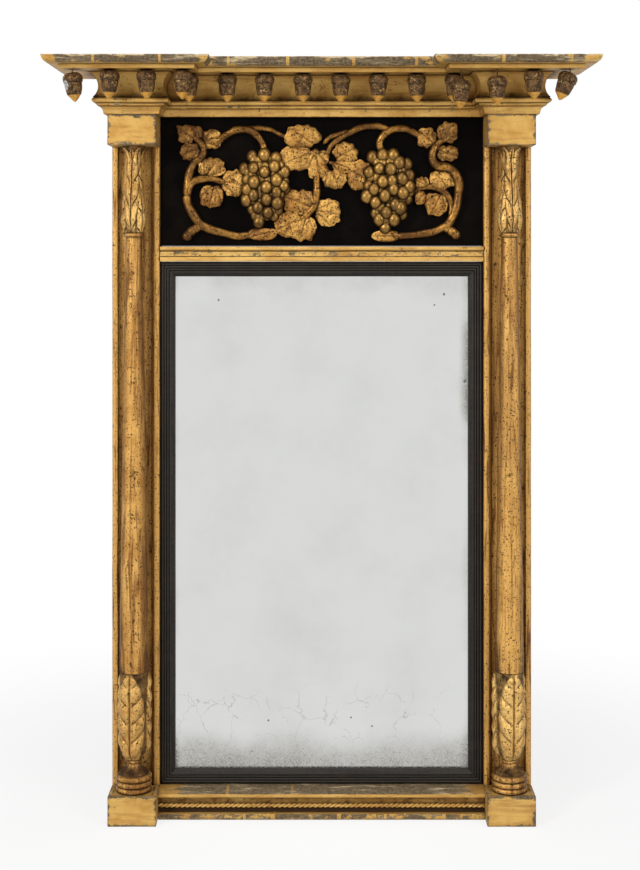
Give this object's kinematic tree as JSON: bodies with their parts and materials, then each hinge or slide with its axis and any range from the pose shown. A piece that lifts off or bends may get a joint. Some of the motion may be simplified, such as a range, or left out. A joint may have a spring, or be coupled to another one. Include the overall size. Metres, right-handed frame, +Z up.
{
  "type": "pier mirror",
  "caption": "Tall gilt and black pier mirror with side columns, a breakfront cornice hung with acorn drops, a carved vine frieze and a reeded slip round the plate",
  "frame": {"origin": "the middle of the top rail's back face, which lies against the wall", "axes": "+Z up, +X to the viewer's right, +Y into the wall, so the front faces -Y"},
  "size_m": [0.7414, 0.1645, 1.0503],
  "materials": {
    "gilt_wood": "bright gilding over gesso, rubbed",
    "bronzed_gilt_wood": "bronzed gilding, worn to red bole",
    "worn_bronze_wood": "darkened and worn, tip gilt",
    "black_wood": "glossy black paint",
    "silvered_glass": "old silvering, foxed along the edges",
    "bare_wood": "bare softwood, darkened with age",
    "brass": "dull brass",
    "steel": "plain steel screw"
  },
  "bodies": {
    "mirror_frame": {"stile_left": "bronzed_gilt_wood", "stile_right": "bronzed_gilt_wood", "top_rail": "bare_wood", "middle_rail": "gilt_wood", "bottom_rail": "bronzed_gilt_wood", "rope_bead": "gilt_wood", "cornice_top_board": "bare_wood", "plinth_left": "gilt_wood", "capital_block_left": "gilt_wood", "plinth_right": "gilt_wood", "capital_block_right": "gilt_wood", "column_base_left": "bronzed_gilt_wood", "column_lower_leaf_left": "bronzed_gilt_wood", "column_shaft_left": "bronzed_gilt_wood", "column_upper_leaf_left": "bronzed_gilt_wood", "column_base_right": "bronzed_gilt_wood", "column_lower_leaf_right": "bronzed_gilt_wood", "column_shaft_right": "bronzed_gilt_wood", "column_upper_leaf_right": "bronzed_gilt_wood", "slip_left": "black_wood", "slip_right": "black_wood", "slip_bottom": "black_wood", "slip_top": "black_wood", "mirror_plate": "silvered_glass", "plate_backboard": "bare_wood", "frieze_panel": "black_wood", "cornice_centre": "gilt_wood", "cornice_front_left": "gilt_wood", "cornice_inner_return_left": "gilt_wood", "cornice_side_return_left": "gilt_wood", "cornice_front_right": "gilt_wood", "cornice_inner_return_right": "gilt_wood", "cornice_side_return_right": "gilt_wood", "acorn_centre_1": "worn_bronze_wood", "acorn_centre_2": "worn_bronze_wood", "acorn_centre_3": "worn_bronze_wood", "acorn_centre_4": "worn_bronze_wood", "acorn_centre_5": "worn_bronze_wood", "acorn_centre_6": "worn_bronze_wood", "acorn_centre_7": "worn_bronze_wood", "acorn_centre_8": "worn_bronze_wood", "acorn_left_1": "worn_bronze_wood", "acorn_left_2": "worn_bronze_wood", "acorn_left_3": "worn_bronze_wood", "acorn_right_3": "worn_bronze_wood", "acorn_right_4": "worn_bronze_wood", "grapes_left": "bronzed_gilt_wood", "vine_left": "bronzed_gilt_wood", "grapes_right": "bronzed_gilt_wood", "vine_right": "bronzed_gilt_wood", "vine_centre": "gilt_wood", "hanger_strap_left": "brass", "hanger_screw_left": "steel", "hanger_strap_right": "brass", "hanger_screw_right": "steel"},
    "loose_acorn_left_corner": {"acorn_left_4": "worn_bronze_wood"},
    "loose_acorn_right_inner": {"acorn_right_1": "worn_bronze_wood"},
    "loose_acorn_right_second": {"acorn_right_2": "worn_bronze_wood"},
    "hanging_ring_left": {"hanger_ring_left": "brass"},
    "hanging_ring_right": {"hanger_ring_right": "brass"}
  },
  "joints": [
    {"name": "acorn_left_corner_swing", "type": "hinge", "parent": "mirror_frame", "child": "loose_acorn_left_corner", "pos_m": [-0.333, -0.12, 0.0223], "axis": [0, 1, 0], "range_deg": [-15, 15]},
    {"name": "acorn_right_inner_swing", "type": "hinge", "parent": "mirror_frame", "child": "loose_acorn_right_inner", "pos_m": [0.1865, -0.12, 0.0223], "axis": [0, 1, 0], "range_deg": [-15, 15]},
    {"name": "acorn_right_second_swing", "type": "hinge", "parent": "mirror_frame", "child": "loose_acorn_right_second", "pos_m": [0.23533, -0.12, 0.0223], "axis": [0, 1, 0], "range_deg": [-15, 15]},
    {"name": "hanging_ring_left_fold", "type": "hinge", "parent": "mirror_frame", "child": "hanging_ring_left", "pos_m": [-0.25975, 0.00355, -0.1284], "axis": [1, 0, 0], "range_deg": [0, 165]},
    {"name": "hanging_ring_right_fold", "type": "hinge", "parent": "mirror_frame", "child": "hanging_ring_right", "pos_m": [0.25975, 0.00355, -0.1284], "axis": [1, 0, 0], "range_deg": [0, 165]}
  ]
}
